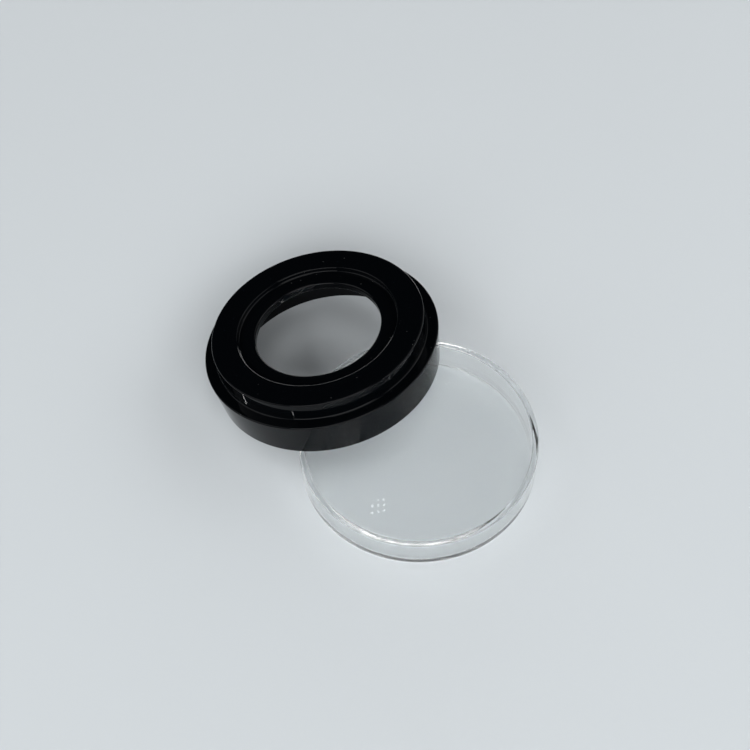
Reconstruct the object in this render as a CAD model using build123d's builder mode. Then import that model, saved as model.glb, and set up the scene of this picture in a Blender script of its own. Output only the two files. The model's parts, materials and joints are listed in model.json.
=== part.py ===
"""A stepped ring and its clear dish, two loose moulded pieces.

The dish stands open side up on the surface, with the centre of its foot at the
origin. The ring lies beside it: one edge of its foot is on the surface, and the
inner edge of the foot rests on the dish's rim at two points, so the ring's axis
leans away from the dish. The same dish, turned over, covers the ring's step.

Millimetres, +Z up.
"""
from math import cos, radians, sin, sqrt
import os

from build123d import *

# ---- clear dish ---------------------------------------------------------
dish_radius = 21.0           # outside of the wall
dish_height = 6.5            # surface to rim
dish_wall = 1.1
dish_floor = 0.5             # thickness of the flat bottom
dish_rim_round = 0.2         # both edges of the rim
dish_foot_round = 0.45       # outside, where the wall meets the bottom
dish_corner_round = 0.4      # inside, where the wall meets the floor

# ---- stepped ring -------------------------------------------------------
cover_clearance = 0.65       # step to the inside of the dish, when the dish covers it
cover_setback = 0.35         # dish's outside to the ring's, when the dish covers it
skirt_draft = 0.8            # how much smaller the skirt is at its foot
skirt_wall = 2.75            # at the foot
ledge_height = 7.15          # foot to the flat ledge round the step
step_height = 3.5            # ledge to the top face
seat_radius = 14.5           # shallow seat in the top face
seat_depth = 0.95
window_radius = 11.4         # hole right through
web_thickness = 1.45         # plate left under the seat
window_round = 0.35          # upper edge of the hole
edge_round = 0.25            # the other outside edges
root_round = 0.3             # inside corners

# ---- how the ring leans -------------------------------------------------
lean = 12.7                  # degrees from flat
lean_heading = 131.0         # from the dish towards the ring, degrees from +X
rest_gap = 0.05              # ring's foot to the dish's rim

# ---- worked out from the above ------------------------------------------
dish_inner = dish_radius - dish_wall
step_radius = dish_inner - cover_clearance
ring_radius = dish_radius + cover_setback
foot_radius = ring_radius - skirt_draft
skirt_inner = foot_radius - skirt_wall
top_height = ledge_height + step_height
seat_height = top_height - seat_depth
web_height = seat_height - web_thickness

# Round the foot's inner edge, the point at angle a from the lowest one is
# foot_centre_height - skirt_inner * cos(a) * sin(lean) above the surface. It is
# level with the rim where the two circles cross, which gives cos(a) and from it
# the distance between the centres.
lean_sin, lean_cos = sin(radians(lean)), cos(radians(lean))
foot_centre_height = foot_radius * lean_sin
cross_cos = (foot_centre_height - dish_height - rest_gap) / (skirt_inner * lean_sin)
cross_half_width = skirt_inner * sqrt(1 - cross_cos**2)
centre_gap = sqrt(dish_radius**2 - cross_half_width**2) - skirt_inner * cross_cos * lean_cos

up = Vector(0, 0, 1)
heading = Vector(cos(radians(lean_heading)), sin(radians(lean_heading)), 0)
ring_axis = heading * lean_sin + up * lean_cos
down_slope = heading * lean_cos - up * lean_sin
ring_centre = heading * centre_gap + up * foot_centre_height

# In both profile planes X is the radius and Y is the height.
ring_profile = Plane(
    origin=ring_centre, x_dir=down_slope, z_dir=down_slope.cross(ring_axis)
)

# Each corner of a profile is (radius, height, round).
dish_corners = [
    (0, 0, 0),
    (dish_radius, 0, dish_foot_round),
    (dish_radius, dish_height, dish_rim_round),
    (dish_inner, dish_height, dish_rim_round),
    (dish_inner, dish_floor, dish_corner_round),
    (0, dish_floor, 0),
]
ring_corners = [
    (skirt_inner, 0, edge_round),
    (foot_radius, 0, edge_round),
    (ring_radius, ledge_height, edge_round),
    (step_radius, ledge_height, root_round),
    (step_radius, top_height, edge_round),
    (seat_radius, top_height, edge_round),
    (seat_radius, seat_height, root_round),
    (window_radius, seat_height, window_round),
    (window_radius, web_height, edge_round),
    (skirt_inner, web_height, root_round),
]

# ---- clear dish ---------------------------------------------------------
with BuildPart() as clear_dish:
    with BuildSketch(Plane.XZ):
        with BuildLine():
            FilletPolyline(
                *[(r, z) for r, z, _ in dish_corners],
                radius=[corner[2] for corner in dish_corners],
                close=True,
            )
        make_face()
    revolve(axis=Axis.Z)

# ---- stepped ring -------------------------------------------------------
with BuildPart() as stepped_ring:
    with BuildSketch(ring_profile):
        with BuildLine():
            FilletPolyline(
                *[(r, z) for r, z, _ in ring_corners],
                radius=[corner[2] for corner in ring_corners],
                close=True,
            )
        make_face()
    revolve(axis=Axis(ring_centre, ring_axis))

# ---- write the pieces ---------------------------------------------------
os.makedirs("parts", exist_ok=True)
clear_dish.part.label = "clear_dish"
export_step(clear_dish.part, "parts/clear_dish.step")
stepped_ring.part.label = "stepped_ring"
export_step(stepped_ring.part, "parts/stepped_ring.step")
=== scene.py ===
"""The stepped ring and its clear dish, with their finishes, on a pale table.

Both pieces are turned shapes, so each one is a profile of straight runs and rounded
corners carried round the piece's own axis. Metres, +Z up, in the model's own frame.
"""
import json
import math

import bpy
import numpy as np
from mathutils import Matrix, Vector


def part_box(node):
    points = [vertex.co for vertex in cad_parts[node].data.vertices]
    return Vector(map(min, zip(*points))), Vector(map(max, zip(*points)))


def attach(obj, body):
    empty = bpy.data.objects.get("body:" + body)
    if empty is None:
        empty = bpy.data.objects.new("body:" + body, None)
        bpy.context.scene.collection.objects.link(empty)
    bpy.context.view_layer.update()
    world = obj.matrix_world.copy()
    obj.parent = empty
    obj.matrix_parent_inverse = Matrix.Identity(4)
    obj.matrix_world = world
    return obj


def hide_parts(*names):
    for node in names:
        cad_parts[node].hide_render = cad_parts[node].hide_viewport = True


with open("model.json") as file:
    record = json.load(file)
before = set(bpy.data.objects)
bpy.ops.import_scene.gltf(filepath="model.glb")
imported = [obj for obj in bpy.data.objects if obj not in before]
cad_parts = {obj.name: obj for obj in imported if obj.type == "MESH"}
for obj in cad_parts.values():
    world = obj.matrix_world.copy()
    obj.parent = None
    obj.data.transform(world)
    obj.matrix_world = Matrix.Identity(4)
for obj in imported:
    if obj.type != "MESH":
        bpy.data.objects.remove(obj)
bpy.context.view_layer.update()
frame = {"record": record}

MM = 0.001

# ---- sizes read from the frame ------------------------------------------
mounts = {mount["name"]: mount for mount in frame["record"]["mounts"]}
dish_low, dish_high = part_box("clear_dish")


def mount_radius(name):
    """Radius of a mount's round surface, in metres."""
    return mounts[name]["dims"]["r_mm"] * MM


dish_radius = (dish_high.x - dish_low.x) / 2
dish_height = dish_high.z
dish_inner = mount_radius("dish_mouth")
step_radius = mount_radius("ring_step")
seat_radius = mount_radius("ring_seat")
window_radius = mount_radius("ring_window")
ring_axis = Vector(mounts["ring_step"]["axis"])

# ---- sizes of the clear dish --------------------------------------------
dish_floor = 0.5 * MM
dish_rim_round = 0.2 * MM
dish_foot_round = 0.45 * MM
dish_corner_round = 0.4 * MM

# ---- sizes of the stepped ring ------------------------------------------
cover_setback = 0.35 * MM
skirt_draft = 0.8 * MM
skirt_wall = 2.75 * MM
ledge_height = 7.15 * MM
step_height = 3.5 * MM
seat_depth = 0.95 * MM
web_thickness = 1.45 * MM
window_round = 0.35 * MM
edge_round = 0.25 * MM
root_round = 0.3 * MM

ring_radius = dish_radius + cover_setback
foot_radius = ring_radius - skirt_draft
skirt_inner = foot_radius - skirt_wall
top_height = ledge_height + step_height
seat_height = top_height - seat_depth
web_height = seat_height - web_thickness

# The seat's straight wall lies between the root round and the edge round.
seat_middle = seat_height + root_round + (seat_depth - root_round - edge_round) / 2
ring_centre = Vector(mounts["ring_seat"]["pos_m"]) - ring_axis * seat_middle

# Each corner of a profile is (radius, height, round).
dish_corners = [
    (0, 0, 0),
    (dish_radius, 0, dish_foot_round),
    (dish_radius, dish_height, dish_rim_round),
    (dish_inner, dish_height, dish_rim_round),
    (dish_inner, dish_floor, dish_corner_round),
    (0, dish_floor, 0),
]
ring_corners = [
    (skirt_inner, 0, edge_round),
    (foot_radius, 0, edge_round),
    (ring_radius, ledge_height, edge_round),
    (step_radius, ledge_height, root_round),
    (step_radius, top_height, edge_round),
    (seat_radius, top_height, edge_round),
    (seat_radius, seat_height, root_round),
    (window_radius, seat_height, window_round),
    (window_radius, web_height, edge_round),
    (skirt_inner, web_height, root_round),
]

TURN_STEPS = 360             # facets round a piece
ARC_STEPS = 10               # facets along each rounded corner
SHADE_MARGIN = 0.06 * MM     # narrow band beside a round that keeps the flat's shading true


# ---- turned surfaces ----------------------------------------------------
def rounded_profile(corners, closed):
    """The profile through the corners, each rounded by an arc that touches both runs.

    With unit directions u and v from a corner to its neighbours and t the angle
    between them, the arc of radius q starts q / tan(t / 2) along u, ends as far along
    v, and is centred q / sin(t / 2) along the line halfway between u and v. Its points
    are evenly spaced by angle. Each straight run gets one more point just inside each
    of its ends.
    """
    places = np.array([corner[:2] for corner in corners])
    bends = []
    for index, (_, _, radius) in enumerate(corners):
        here = places[index]
        if radius == 0:
            bends.append(here[None, :])
            continue
        u = places[index - 1] - here
        v = places[(index + 1) % len(places)] - here
        u, v = u / np.linalg.norm(u), v / np.linalg.norm(v)
        half = math.acos(np.clip(u @ v, -1, 1)) / 2
        middle = (u + v) / np.linalg.norm(u + v)
        centre = here + middle * radius / math.sin(half)
        start = here + u * radius / math.tan(half) - centre
        end = here + v * radius / math.tan(half) - centre
        sweep = math.pi - 2 * half
        part = np.linspace(0, 1, ARC_STEPS + 1)[:, None]
        arc = (np.sin((1 - part) * sweep) * start + np.sin(part * sweep) * end) / math.sin(sweep)
        bends.append(centre + arc)
    pieces = []
    for index, bend in enumerate(bends):
        pieces.append(bend)
        if index == len(bends) - 1 and not closed:
            break
        a, b = bend[-1], bends[(index + 1) % len(bends)][0]
        step = (b - a) / np.linalg.norm(b - a) * SHADE_MARGIN
        pieces.append(np.array([a + step, b - step]))
    return np.concatenate(pieces)


def quads(*corners_of):
    """Four-sided faces from four equal arrays of corner numbers."""
    return np.stack(corners_of, axis=-1).reshape(-1, 4).tolist()


def turned(name, corners, centre, axis, closed):
    """A solid's whole skin: its rounded profile carried once round its axis.

    The point at radius r and height h of the profile and at angle a is
    centre + h * axis + r * (cos(a) * side + sin(a) * across), where side and across
    are square to the axis. An open profile starts and ends on the axis, in one point.
    """
    profile = rounded_profile(corners, closed)
    side = axis.orthogonal().normalized()
    across = axis.cross(side)
    a = np.linspace(0, 2 * math.pi, TURN_STEPS, endpoint=False)[:, None, None]
    r, h = profile[None, :, 0:1], profile[None, :, 1:2]
    spokes = np.cos(a) * np.array(side) + np.sin(a) * np.array(across)
    points = np.array(centre) + h * np.array(axis) + r * spokes

    count = len(profile)
    index = np.arange(TURN_STEPS * count).reshape(TURN_STEPS, count)
    if not closed:
        index[:, 0], index[:, -1] = index[0, 0], index[0, -1]
    used, packed = np.unique(index, return_inverse=True)
    index = packed.reshape(index.shape)
    beyond = np.roll(index, -1, axis=0)
    if closed:
        faces = quads(index, beyond, np.roll(beyond, -1, axis=1), np.roll(index, -1, axis=1))
    else:
        faces = quads(index[:, 1:-2], beyond[:, 1:-2], beyond[:, 2:-1], index[:, 2:-1])
        faces += np.stack([index[:, 0], beyond[:, 1], index[:, 1]], axis=-1).tolist()
        faces += np.stack([index[:, -1], index[:, -2], beyond[:, -2]], axis=-1).tolist()

    mesh = bpy.data.meshes.new(name)
    mesh.from_pydata(points.reshape(-1, 3)[used], [], faces)
    mesh.shade_smooth()
    piece = bpy.data.objects.new(name, mesh)
    bpy.context.scene.collection.objects.link(piece)
    return piece


# ---- shader maths -------------------------------------------------------
class Wire:
    """A number that varies over a surface; arithmetic on it adds Math nodes."""

    def __init__(self, finish, socket):
        self.finish, self.socket = finish, socket

    def __add__(self, other):
        return self.finish.maths("ADD", self, other)

    def __sub__(self, other):
        return self.finish.maths("SUBTRACT", self, other)

    def __rsub__(self, other):
        return self.finish.maths("SUBTRACT", other, self)

    def __mul__(self, other):
        return self.finish.maths("MULTIPLY", self, other)

    __radd__, __rmul__ = __add__, __mul__

    def __abs__(self):
        return self.finish.maths("ABSOLUTE", self)

    def between(self, low, high):
        """0 below low, 1 above high, and smooth between them."""
        settings = {"interpolation_type": "SMOOTHSTEP"}
        sockets = {"Value": self, "From Min": low, "From Max": high}
        return self.finish.node("ShaderNodeMapRange", settings, sockets)


class Finish:
    """One material and the nodes that make it."""

    def __init__(self, name):
        self.material = bpy.data.materials.new(name)
        self.material.use_nodes = True
        self.tree = self.material.node_tree
        self.tree.nodes.clear()

    def node(self, kind, settings=None, sockets=None, output=0):
        """Adds a node, sets it up, then gives its sockets their values or links."""
        node = self.tree.nodes.new(kind)
        for key, value in (settings or {}).items():
            setattr(node, key, value)
        for key, value in (sockets or {}).items():
            if isinstance(value, Wire):
                self.tree.links.new(value.socket, node.inputs[key])
            else:
                node.inputs[key].default_value = value
        return Wire(self, node.outputs[output]) if node.outputs else None

    def maths(self, operation, *values):
        return self.node("ShaderNodeMath", {"operation": operation}, dict(enumerate(values)))

    def place(self, centre, axis):
        """Object coordinates turned so that the piece's own axis is Z through centre."""
        turn = axis.rotation_difference(Vector((0, 0, 1))).to_euler()
        here = self.node("ShaderNodeTexCoord", output="Object")
        moved = self.node("ShaderNodeVectorMath", {"operation": "SUBTRACT"}, {0: here, 1: centre})
        return self.node("ShaderNodeMapping", {}, {"Vector": moved, "Rotation": turn})

    def noise(self, place, scale, detail=2.0, roughness=0.5, distortion=0.0):
        sockets = {
            "Vector": place, "Scale": scale, "Detail": detail,
            "Roughness": roughness, "Distortion": distortion,
        }
        return self.node("ShaderNodeTexNoise", {"noise_dimensions": "3D"}, sockets)

    def specks(self, place, scale, size):
        """1 inside small round specks, one in each cell of a loose net, else 0."""
        settings = {"feature": "F1"}
        sockets = {"Vector": place, "Scale": scale, "Randomness": 1.0}
        far = self.node("ShaderNodeTexVoronoi", settings, sockets, output="Distance")
        return 1 - far.between(size * 0.6, size)

    def hairlines(self, place, turn, scale, width):
        """1 along fine broken scratches that run one way, else 0.

        Noise squeezed across the run is near its middle value along long thin lines;
        a slower noise keeps them only here and there.
        """
        sockets = {"Vector": place, "Rotation": (0, 0, math.radians(turn)), "Scale": (1, 0.03, 1)}
        squeezed = self.node("ShaderNodeMapping", {}, sockets)
        level = self.noise(squeezed, scale, detail=1.0)
        off_middle = abs(level - 0.5)
        kept = self.noise(squeezed, scale * 0.21, detail=0.0).between(0.6, 0.68)
        return (1 - off_middle.between(width * 0.4, width)) * kept

    def bump(self, height, strength, distance):
        sockets = {"Strength": strength, "Distance": distance, "Height": height}
        return self.node("ShaderNodeBump", {}, sockets)

    def output(self, shader):
        self.node("ShaderNodeOutputMaterial", {}, {"Surface": shader})
        return self.material


# ---- finishes -----------------------------------------------------------
def black_plastic():
    """Polished black moulding: faint flow waves, smears, hairlines and a little dust."""
    finish = Finish("black_plastic")
    place = finish.place(ring_centre, ring_axis)
    waves = finish.noise(place, 160, detail=1.5)
    smears = finish.noise(place, 95, detail=4.0, distortion=0.6).between(0.5, 0.75)
    lines = finish.maths(
        "MAXIMUM", finish.hairlines(place, 25, 900, 0.012), finish.hairlines(place, -50, 700, 0.010)
    )
    dust = finish.specks(place, 700, 0.07) * finish.noise(place, 60, detail=1.0).between(0.45, 0.6)
    roughness = 0.018 + smears * 0.03 + lines * 0.16 + dust * 0.5
    height = waves * 0.5 + lines * -0.03 + dust * 0.06
    bump = finish.bump(height, strength=0.12, distance=0.0004)
    tint = finish.node(
        "ShaderNodeMix", {"data_type": "RGBA"},
        {0: dust, 6: (0.0010, 0.0014, 0.0020, 1), 7: (0.05, 0.05, 0.048, 1)}, output=2,
    )
    skin = finish.node("ShaderNodeBsdfPrincipled", {}, {
        "Base Color": tint, "Roughness": roughness, "IOR": 1.5, "Specular IOR Level": 0.12,
        "Normal": bump,
    })
    return finish.output(skin)


def clear_plastic():
    """Polished clear moulding: faint waves, hairlines, smears and a little dust."""
    finish = Finish("clear_plastic")
    place = finish.place(Vector((0, 0, 0)), Vector((0, 0, 1)))
    waves = finish.noise(place, 120, detail=1.0)
    smears = finish.noise(place, 80, detail=3.0, distortion=0.5).between(0.55, 0.8)
    lines = finish.maths(
        "MAXIMUM", finish.hairlines(place, 70, 800, 0.010), finish.hairlines(place, -20, 640, 0.010)
    )
    dust = finish.specks(place, 700, 0.06) * finish.noise(place, 50).between(0.5, 0.62)
    roughness = smears * 0.02 + lines * 0.12 + dust * 0.4
    height = waves * 0.5 + lines * -0.03 + dust * 0.05
    bump = finish.bump(height, strength=0.06, distance=0.0004)
    tint = finish.node(
        "ShaderNodeMix", {"data_type": "RGBA"},
        {0: dust, 6: (0.985, 0.992, 0.99, 1), 7: (0.8, 0.8, 0.78, 1)}, output=2,
    )
    skin = finish.node("ShaderNodeBsdfPrincipled", {}, {
        "Base Color": tint, "Roughness": roughness, "IOR": 1.49,
        "Transmission Weight": 1.0, "Normal": bump,
    })
    return finish.output(skin)


def table_top():
    """Pale cool laminate with a soft sheen and a very fine grain."""
    finish = Finish("table_top")
    place = finish.node("ShaderNodeTexCoord", output="Object")
    grain = finish.noise(place, 1400, detail=3.0)
    bump = finish.bump(grain, strength=0.05, distance=0.0002)
    skin = finish.node("ShaderNodeBsdfPrincipled", {}, {
        "Base Color": (0.62, 0.66, 0.685, 1), "Roughness": grain * 0.1 + 0.3, "IOR": 1.45,
        "Normal": bump,
    })
    return finish.output(skin)


# ---- pieces -------------------------------------------------------------
def finished(piece, body, node, material):
    """Puts the finish on a piece, which rides on its body in place of its plain node."""
    piece.data.materials.append(material)
    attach(piece, body)
    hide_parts(node)


finished(
    turned("clear_dish_shell", dish_corners, Vector((0, 0, 0)), Vector((0, 0, 1)), False),
    "dish", "clear_dish", clear_plastic(),
)
finished(
    turned("stepped_ring_body", ring_corners, ring_centre, ring_axis, True),
    "ring", "stepped_ring", black_plastic(),
)

# ---- table, lights and camera -------------------------------------------
TABLE_HALF = 1.5
TABLE_GAP = 0.08 * MM        # air left under the dish's foot

table_mesh = bpy.data.meshes.new("table")
table_mesh.from_pydata(
    [(x * TABLE_HALF, y * TABLE_HALF, -TABLE_GAP) for x, y in ((-1, -1), (1, -1), (1, 1), (-1, 1))],
    [], [(0, 1, 2, 3)],
)
table_mesh.materials.append(table_top())
table = bpy.data.objects.new("table", table_mesh)
bpy.context.scene.collection.objects.link(table)

ROOM_COLOR = (0.9, 0.96, 1.0, 1)
ROOM_GLOW = 0.004

world = bpy.data.worlds.new("dark_room")
world.use_nodes = True
background = world.node_tree.nodes["Background"]
background.inputs["Color"].default_value = ROOM_COLOR
background.inputs["Strength"].default_value = ROOM_GLOW
bpy.context.scene.world = world

LIGHT_DISTANCE = 1.3
LAMP_DISTANCE = 1.2
LAMP_SIZE = 2.4 * MM
LAMP_PITCH = 5.2 * MM


def direction(azimuth, elevation):
    """Unit direction out from the pieces; azimuth 0 is the viewer's side and 90 is +X."""
    a, e = math.radians(azimuth), math.radians(elevation)
    return Vector((math.sin(a) * math.cos(e), -math.cos(a) * math.cos(e), math.sin(e)))


def hang(name, data, away, place):
    """Hangs a light at a place, facing back along the direction away."""
    light = bpy.data.objects.new(name, data)
    light.location = place
    light.rotation_euler = (-away).to_track_quat("-Z", "Y").to_euler()
    bpy.context.scene.collection.objects.link(light)


def soft_light(name, azimuth, elevation, width, height, glow):
    """A flat light that faces the pieces; glow is its brightness seen head on."""
    data = bpy.data.lights.new(name, "AREA")
    data.shape = "RECTANGLE"
    data.size, data.size_y = width, height
    data.energy = glow * width * height * math.pi
    away = direction(azimuth, elevation)
    hang(name, data, away, away * LIGHT_DISTANCE)


def lamp(name, azimuth, elevation, glow):
    """Three rows of three small round lights, which leave bright points in the gloss."""
    data = bpy.data.lights.new(name, "AREA")
    data.shape = "DISK"
    data.size = LAMP_SIZE
    data.energy = glow * LAMP_SIZE**2 / 4 * math.pi**2
    away = direction(azimuth, elevation)
    along = away.cross(Vector((0, 0, 1))).normalized()
    across = along.cross(away)
    for row in (-1, 0, 1):
        for column in (-1, 0, 1):
            place = away * LAMP_DISTANCE + (along * column + across * row) * LAMP_PITCH
            hang(name, data, away, place)


# The flat tops mirror the far side from 30 to 60 degrees up, so no wide light hangs there
# and they stay black.
SOFT_LIGHTS = [
    # name, azimuth, elevation, width, height, glow
    ("front_light", 0, 35, 1.9, 0.8, 4.0),
    ("left_light", -90, 36, 1.3, 0.8, 1.6),
    ("right_light", 90, 34, 1.3, 0.7, 2.1),
    ("back_right_light", 135, 33, 0.8, 0.7, 1.0),
    ("top_light", 0, 88, 0.6, 0.6, 2.1),
    ("far_light", 180, 6, 1.4, 0.16, 12.0),
]
LAMPS = [
    # name, azimuth, elevation, glow
    ("left_lamp_1", -55.6, 46.5, 2500),
    ("left_lamp_2", -106.8, 34.6, 2500),
    ("far_lamp", -178.9, 62.1, 4),
]
for light in SOFT_LIGHTS:
    soft_light(*light)
for light in LAMPS:
    lamp(*light)

AIM = Vector((-7.03, 17.96, 0.0)) * MM
VIEW_ELEVATION = math.radians(56.38)
VIEW_ROLL = math.radians(-2.75)
VIEW_DISTANCE = 261.9 * MM
LENS = 67.7
SENSOR = 36.0
MAX_BOUNCES = 128

camera_data = bpy.data.cameras.new("camera")
camera_data.sensor_width, camera_data.lens = SENSOR, LENS
camera_data.clip_start = 0.001
camera = bpy.data.objects.new("camera", camera_data)
forward = Vector((0, math.cos(VIEW_ELEVATION), -math.sin(VIEW_ELEVATION)))
upright = forward.to_track_quat("-Z", "Y").to_matrix()
camera.matrix_world = Matrix.LocRotScale(
    AIM - forward * VIEW_DISTANCE, upright @ Matrix.Rotation(VIEW_ROLL, 3, "Z"), None
)
bpy.context.scene.collection.objects.link(camera)
bpy.context.scene.camera = camera
bpy.context.scene.view_settings.view_transform = "Standard"

# Light that runs along inside the clear wall is followed until it comes out.
paths = bpy.context.scene.cycles
paths.blur_glossy = 0.0
paths.max_bounces = paths.glossy_bounces = paths.transmission_bounces = MAX_BOUNCES
